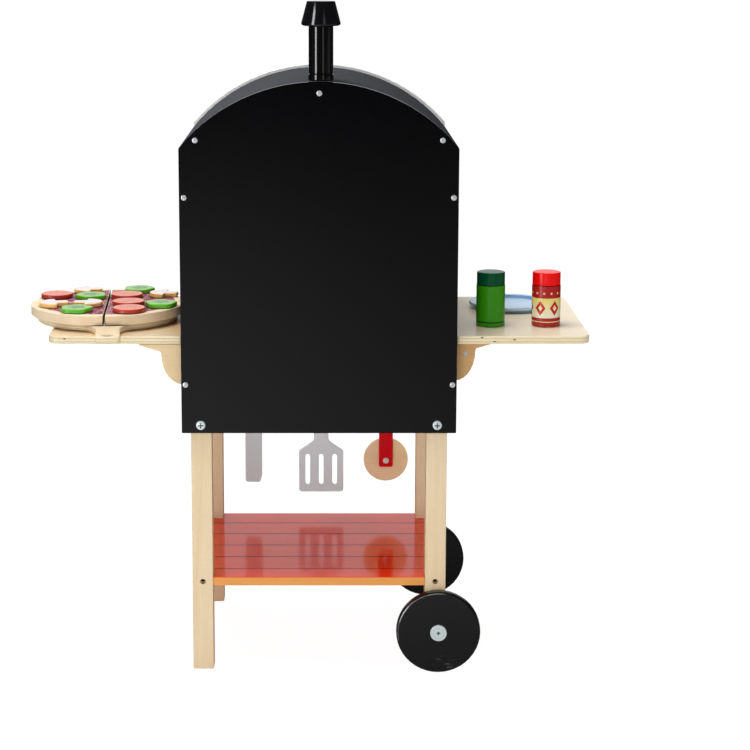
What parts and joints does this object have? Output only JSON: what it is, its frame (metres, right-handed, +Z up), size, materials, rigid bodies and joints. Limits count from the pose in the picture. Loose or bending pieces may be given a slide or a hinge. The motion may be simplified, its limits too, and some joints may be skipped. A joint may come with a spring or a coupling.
{
  "type": "toy pizza oven",
  "caption": "Free-standing wooden toy pizza oven with an arched roof, chimney, two side tables, lower shelf, wheels, hanging utensils, a sliced pizza on a peel, plate and shakers.",
  "frame": {"origin": "on the floor, under the middle of the whole toy's outline in plan", "axes": "+Z up; -Y is the closed back of the oven, which the picture shows, and +Y its mouth; +X is towards the table with the plate, over the wheels"},
  "size_m": [0.842, 0.4338, 1],
  "materials": {
    "black_lacquer": "smooth black paint with a slight sheen",
    "black_gloss": "turned wood under gloss black paint",
    "roof_grey": "thin bent board, painted dark grey",
    "white_lacquer": "off-white paint",
    "beech": "bare pale beech with a clear matt coat",
    "birch_ply": "pale birch-faced board with a clear matt coat",
    "shelf_red": "orange-red paint with a high gloss",
    "grey_paint": "mid grey paint",
    "red_paint": "red paint",
    "zinc": "bright zinc",
    "pizza_wood": "bare pale wood with a printed sauce top",
    "tomato_red": "red sides with a printed salmon-pink top",
    "pepper_green": "green sides with a printed pale green top",
    "mushroom_white": "bare sides with a printed off-white top",
    "plate_blue": "pale blue paint",
    "shaker_green": "mid green paint",
    "lid_green": "dark green paint",
    "shaker_red": null,
    "lid_red": "bright red paint"
  },
  "bodies": {
    "root": {"back_panel": "black_lacquer", "front_panel": "white_lacquer", "left_side_panel": "black_lacquer", "right_side_panel": "black_lacquer", "roof_sheet": "roof_grey", "ridge_batten": "beech", "left_shoulder_batten": "beech", "right_shoulder_batten": "beech", "oven_floor": "birch_ply", "rear_left_leg": "beech", "rear_right_leg": "beech", "front_left_leg": "beech", "front_right_leg": "beech", "shelf_board": "shelf_red", "left_table": "birch_ply", "right_table": "birch_ply", "left_rear_bracket": "beech", "left_front_bracket": "beech", "left_cleat": "beech", "right_rear_bracket": "beech", "right_front_bracket": "beech", "right_cleat": "beech", "chimney_pipe": "black_gloss", "chimney_cap": "black_gloss", "rear_wheel_bolt": "zinc", "front_wheel_bolt": "zinc", "left_panel_bolt": "zinc", "right_panel_bolt": "zinc", "knife_peg": "beech", "spatula_peg": "beech", "cutter_peg": "beech"},
    "rear_wheel": {"rear_wheel": "black_gloss"},
    "front_wheel": {"front_wheel": "black_gloss"},
    "knife": {"knife": "grey_paint"},
    "spatula": {"spatula": "grey_paint"},
    "cutter": {"cutter_handle": "red_paint", "cutter_screw": "zinc"},
    "cutter_wheel": {"cutter_wheel": "beech"},
    "pizza_peel": {"pizza_peel": "birch_ply"},
    "front_right_slice": {"front_right_slice": "pizza_wood"},
    "tomato_3": {"tomato_3": "tomato_red"},
    "pepper_2": {"pepper_2": "pepper_green"},
    "mushroom_1": {"mushroom_1": "mushroom_white"},
    "front_left_slice": {"front_left_slice": "pizza_wood"},
    "tomato_4": {"tomato_4": "tomato_red"},
    "mushroom_2": {"mushroom_2": "mushroom_white"},
    "pepper_3": {"pepper_3": "pepper_green"},
    "rear_left_slice": {"rear_left_slice": "pizza_wood"},
    "mushroom_3": {"mushroom_3": "mushroom_white"},
    "mushroom_4": {"mushroom_4": "mushroom_white"},
    "pepper_4": {"pepper_4": "pepper_green"},
    "rear_right_slice": {"rear_right_slice": "pizza_wood"},
    "tomato_1": {"tomato_1": "tomato_red"},
    "tomato_2": {"tomato_2": "tomato_red"},
    "pepper_1": {"pepper_1": "pepper_green"},
    "plate": {"plate": "plate_blue"},
    "green_shaker": {"green_shaker": "shaker_green", "green_shaker_lid": "lid_green"},
    "red_shaker": {"red_shaker": "shaker_red", "red_shaker_lid": "lid_red"}
  },
  "joints": [
    {"name": "rear_wheel_spin", "type": "hinge", "parent": "root", "child": "rear_wheel", "pos_m": [0.20005, -0.17269, 0.0632], "axis": [0, 1, 0], "continuous": true},
    {"name": "front_wheel_spin", "type": "hinge", "parent": "root", "child": "front_wheel", "pos_m": [0.20005, 0.18541, 0.0632], "axis": [0, 1, 0], "continuous": true},
    {"name": "knife_swing", "type": "hinge", "parent": "root", "child": "knife", "pos_m": [-0.08875, 0.19601, 0.3915], "axis": [0, 1, 0], "range_deg": [-8, 75]},
    {"name": "spatula_swing", "type": "hinge", "parent": "root", "child": "spatula", "pos_m": [0.02395, 0.19601, 0.3915], "axis": [0, 1, 0], "range_deg": [-5, 5]},
    {"name": "cutter_swing", "type": "hinge", "parent": "root", "child": "cutter", "pos_m": [0.13205, 0.19601, 0.3915], "axis": [0, 1, 0], "range_deg": [-75, 5]},
    {"name": "cutter_wheel_spin", "type": "hinge", "parent": "cutter", "child": "cutter_wheel", "pos_m": [0.13205, 0.20301, 0.2298], "axis": [0, 1, 0], "continuous": true},
    {"name": "peel_lift", "type": "slide", "parent": "root", "child": "pizza_peel", "axis": [0, 0, 1], "range_m": [0, 0.12]},
    {"name": "front_right_slice_lift", "type": "slide", "parent": "pizza_peel", "child": "front_right_slice", "axis": [0, 0, 1], "range_m": [0, 0.08]},
    {"name": "tomato_3_lift", "type": "slide", "parent": "front_right_slice", "child": "tomato_3", "axis": [0, 0, 1], "range_m": [0, 0.05]},
    {"name": "pepper_2_lift", "type": "slide", "parent": "front_right_slice", "child": "pepper_2", "axis": [0, 0, 1], "range_m": [0, 0.05]},
    {"name": "mushroom_1_lift", "type": "slide", "parent": "front_right_slice", "child": "mushroom_1", "axis": [0, 0, 1], "range_m": [0, 0.05]},
    {"name": "front_left_slice_lift", "type": "slide", "parent": "pizza_peel", "child": "front_left_slice", "axis": [0, 0, 1], "range_m": [0, 0.08]},
    {"name": "tomato_4_lift", "type": "slide", "parent": "front_left_slice", "child": "tomato_4", "axis": [0, 0, 1], "range_m": [0, 0.05]},
    {"name": "mushroom_2_lift", "type": "slide", "parent": "front_left_slice", "child": "mushroom_2", "axis": [0, 0, 1], "range_m": [0, 0.05]},
    {"name": "pepper_3_lift", "type": "slide", "parent": "front_left_slice", "child": "pepper_3", "axis": [0, 0, 1], "range_m": [0, 0.05]},
    {"name": "rear_left_slice_lift", "type": "slide", "parent": "pizza_peel", "child": "rear_left_slice", "axis": [0, 0, 1], "range_m": [0, 0.08]},
    {"name": "mushroom_3_lift", "type": "slide", "parent": "rear_left_slice", "child": "mushroom_3", "axis": [0, 0, 1], "range_m": [0, 0.05]},
    {"name": "mushroom_4_lift", "type": "slide", "parent": "rear_left_slice", "child": "mushroom_4", "axis": [0, 0, 1], "range_m": [0, 0.05]},
    {"name": "pepper_4_lift", "type": "slide", "parent": "rear_left_slice", "child": "pepper_4", "axis": [0, 0, 1], "range_m": [0, 0.05]},
    {"name": "rear_right_slice_lift", "type": "slide", "parent": "pizza_peel", "child": "rear_right_slice", "axis": [0, 0, 1], "range_m": [0, 0.08]},
    {"name": "tomato_1_lift", "type": "slide", "parent": "rear_right_slice", "child": "tomato_1", "axis": [0, 0, 1], "range_m": [0, 0.05]},
    {"name": "tomato_2_lift", "type": "slide", "parent": "rear_right_slice", "child": "tomato_2", "axis": [0, 0, 1], "range_m": [0, 0.05]},
    {"name": "pepper_1_lift", "type": "slide", "parent": "rear_right_slice", "child": "pepper_1", "axis": [0, 0, 1], "range_m": [0, 0.05]},
    {"name": "plate_lift", "type": "slide", "parent": "root", "child": "plate", "axis": [0, 0, 1], "range_m": [0, 0.1]},
    {"name": "green_shaker_lift", "type": "slide", "parent": "root", "child": "green_shaker", "axis": [0, 0, 1], "range_m": [0, 0.1]},
    {"name": "red_shaker_lift", "type": "slide", "parent": "root", "child": "red_shaker", "axis": [0, 0, 1], "range_m": [0, 0.1]}
  ]
}
